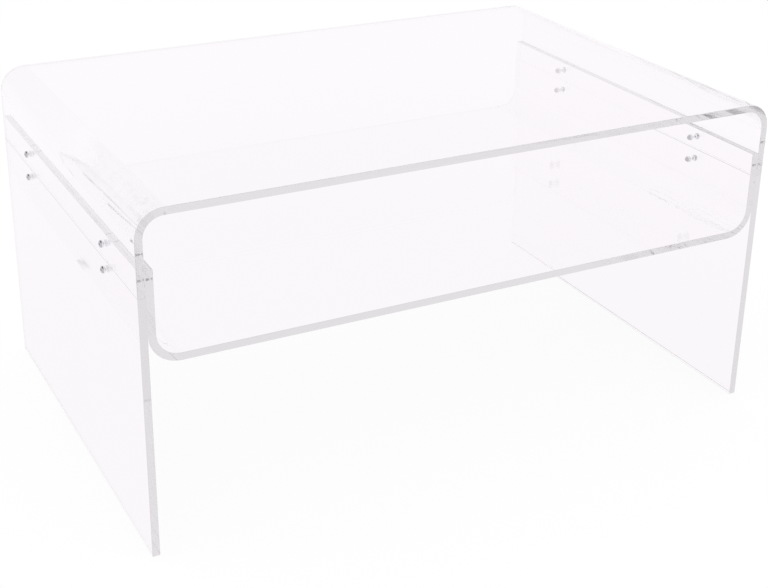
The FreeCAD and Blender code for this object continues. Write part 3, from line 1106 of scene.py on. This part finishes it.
@dataclass
class CapNuts(Turned):
    """Domed cap nuts, four to a side, on the inner faces of the shelf's flanges.

    Fields:
        across_flats: Width of the hexagon.
        hexagon_height: Height of the hexagon.
        bevel_height: Height of the turned bevel on its corners.
        washer_radius: Radius of the bearing face inside the bevel.
        dome_radius: Radius of the dome at its foot.
        dome_steps: Facets from the dome's foot to its tip.
    """

    across_flats: float = 8.0 * MM
    hexagon_height: float = 3.8 * MM
    bevel_height: float = 0.45 * MM
    washer_radius: float = 3.85 * MM
    dome_radius: float = 3.45 * MM
    dome_steps: int = 14

    def build(self, side: Side) -> bpy.types.Object:
        """Make a side's four nuts.

        Args:
            side: The side.

        Returns:
            The finished piece.
        """
        # One film lies outside the shelf's flange and one inside it.
        seat, tip = self.lines.flange_face - 2 * FILM, self.lines.nut_end
        corner = hexagon_radius(self.across_flats)
        crown = seat - self.hexagon_height
        rise = crown - tip
        outline = [
            (seat, 0.0), (seat, self.washer_radius), (seat - self.bevel_height, corner),
            (crown + self.bevel_height, corner), (crown, self.washer_radius), (crown, self.dome_radius),
        ]
        for step in range(1, self.dome_steps + 1):
            angle = QUARTER * step / self.dome_steps
            radius = self.dome_radius * math.cos(angle) if step < self.dome_steps else 0.0
            outline.append((crown - rise * math.sin(angle), radius))
        bm = bmesh.new()
        self.lathe(bm, outline)
        for number in range(HEX):
            angle = number * FULL / HEX
            flat = Vector((0, math.cos(angle), math.sin(angle)))
            cut = bmesh.ops.bisect_plane(
                bm, geom=[*bm.verts, *bm.edges, *bm.faces], dist=WELD,
                plane_co=flat * self.across_flats / 2, plane_no=flat, clear_outer=True,
            )
            bmesh.ops.contextual_create(bm, geom=pick(cut["geom_cut"], bmesh.types.BMEdge))
        return self.make(bm, side, "domed_cap_nuts", "cap_nuts")


# ---------------------------------------- studio


@dataclass(frozen=True)
class Viewpoint:
    """The camera.

    Fields:
        place: Where it stands, in metres.
        heading: Turn from +Y towards +X, in radians.
        tilt: Angle below the horizon, in radians.
        roll: Angle by which its right side is raised, in radians.
        lens: Focal length in millimetres on the 36 mm sensor.
        shift: Vertical lens shift, as a share of the picture's width.
    """

    place: tuple[float, float, float] = (-0.8892, -1.7143, 1.0590)
    heading: float = 0.4869
    tilt: float = 0.3950
    roll: float = 0.0141
    lens: float = 66.72890625
    shift: float = -0.1

    def build(self) -> None:
        """Make the camera and look through it."""
        data = bpy.data.cameras.new("camera")
        data.lens = self.lens
        data.shift_y = self.shift
        camera = bpy.data.objects.new("camera", data)
        turn = Matrix.Rotation(-self.heading, 4, "Z")
        nod = Matrix.Rotation(QUARTER - self.tilt, 4, "X")
        lean = Matrix.Rotation(self.roll, 4, "Z")
        camera.matrix_world = Matrix.Translation(self.place) @ turn @ nod @ lean
        bpy.context.scene.collection.objects.link(camera)
        bpy.context.scene.camera = camera


@dataclass(frozen=True)
class Lamp:
    """A square soft box that lights the table but shows in no mirror image.

    Fields:
        name: Its name.
        place: Where it hangs.
        size: Length of its side.
        power: Watts.
        target: Point that it faces.
    """

    name: str
    place: tuple[float, float, float]
    size: float
    power: float
    target: tuple[float, float, float] = (0.0, 0.0, 0.2)

    def build(self) -> None:
        """Hang the lamp and face it to the table."""
        data = bpy.data.lights.new(self.name, "AREA")
        data.size = self.size
        data.energy = self.power
        lamp = bpy.data.objects.new(self.name, data)
        lamp.visible_glossy = False
        lamp.visible_transmission = False
        lamp.location = self.place
        aim = Vector(self.target) - Vector(self.place)
        lamp.rotation_euler = aim.to_track_quat("-Z", "Y").to_euler()
        bpy.context.scene.collection.objects.link(lamp)


@dataclass(frozen=True)
class Studio:
    """White floor and surround, with a grey ceiling that clear and polished faces mirror.

    Fields:
        lamps: The soft boxes.
        cast: Colour of the room as the sheets show and mirror it.
        plain: Level of the room at the horizon and overhead, as the camera and the sheets show it.
        mirrored: The same as polished faces mirror it.
        dusk: Sines of the elevations between which the room darkens.
        daylight: Level of the surround as a light.
        floor_reach: Half the floor's side.
        floor_drop: Gap under the legs.
        sure_bounces: Bounces that a path makes before chance may end it.
        bounces: Most bounces inside the sheets.
        clear_bounces: Most faces that straight light passes.
    """

    lamps: tuple[Lamp, ...] = (
        Lamp("key_soft_box", (-1.6, 0.6, 2.4), 1.6, 15.0),
        Lamp("fill_soft_box", (2.0, -1.4, 2.2), 1.8, 9.0),
    )
    cast: Colour = (1.0, 0.977, 1.0)
    plain: Pair = (1.0, 1.0)
    mirrored: Pair = (0.96, 0.06)
    dusk: Pair = (math.sin(math.radians(34)), math.sin(math.radians(62)))
    daylight: float = 1.0
    floor_reach: float = 9.0
    floor_drop: float = 0.3 * MM
    sure_bounces: int = 24
    bounces: int = 96
    clear_bounces: int = 64

    def surround(self) -> None:
        """Make the world: white to the camera and through the sheets, greyer above in mirror images."""
        world = bpy.data.worlds.new("surround")
        world.use_nodes = True
        bpy.context.scene.world = world
        shader = Shader(world.node_tree)
        direction = shader.add("ShaderNodeTexCoord").outputs["Generated"]
        height = shader.add("ShaderNodeSeparateXYZ", {0: direction}).outputs["Z"]
        path = shader.add("ShaderNodeLightPath").outputs
        light = shader.add("ShaderNodeBackground", {"Color": WHITE, "Strength": self.daylight})
        surface = light.outputs["Background"]
        looks = (
            ("Is Glossy Ray", self.cast, self.mirrored),
            ("Is Transmission Ray", self.cast, self.plain),
            ("Is Camera Ray", WHITE, self.plain),
        )
        for ray, colour, levels in looks:
            level = shader.band(height, *self.dusk, *levels)
            look = shader.add("ShaderNodeBackground", {"Color": colour, "Strength": level})
            surface = shader.choose(path[ray], surface, look.outputs["Background"])
        shader.add("ShaderNodeOutputWorld", {"Surface": surface})

    def floor(self) -> None:
        """Lay the floor."""
        bm = bmesh.new()
        bmesh.ops.create_grid(bm, x_segments=1, y_segments=1, size=self.floor_reach)
        bmesh.ops.translate(bm, vec=(0, 0, -self.floor_drop), verts=bm.verts)
        floor = new_piece("floor", bm)
        floor.data.materials.append(PaleFloor(cast=self.cast).material())

    def build(self) -> None:
        """Set up the room, the lamps and how light travels through the sheets."""
        self.surround()
        self.floor()
        for lamp in self.lamps:
            lamp.build()
        scene = bpy.context.scene
        scene.view_settings.view_transform = "Standard"
        scene.cycles.min_light_bounces = self.sure_bounces
        scene.cycles.max_bounces = self.bounces
        scene.cycles.transmission_bounces = self.bounces
        scene.cycles.glossy_bounces = self.bounces
        scene.cycles.transparent_max_bounces = self.clear_bounces


# ---------------------------------------- all together


def main() -> None:
    """Build the table's pieces in the order they go together, then the room and the camera."""
    logging.basicConfig(level=logging.INFO, format="%(message)s")
    lines, acrylic, steel = Lines.read(), Acrylic(), Steel()
    TopPanel(lines, acrylic).build()
    Shelf(lines, acrylic).build()
    for side in Side:
        Leg(lines, acrylic, side=side).build()
        Screws(lines, steel).build(side)
        CapNuts(lines, steel).build(side)
    Studio().build()
    Viewpoint().build()


if __name__ == "__main__":
    main()
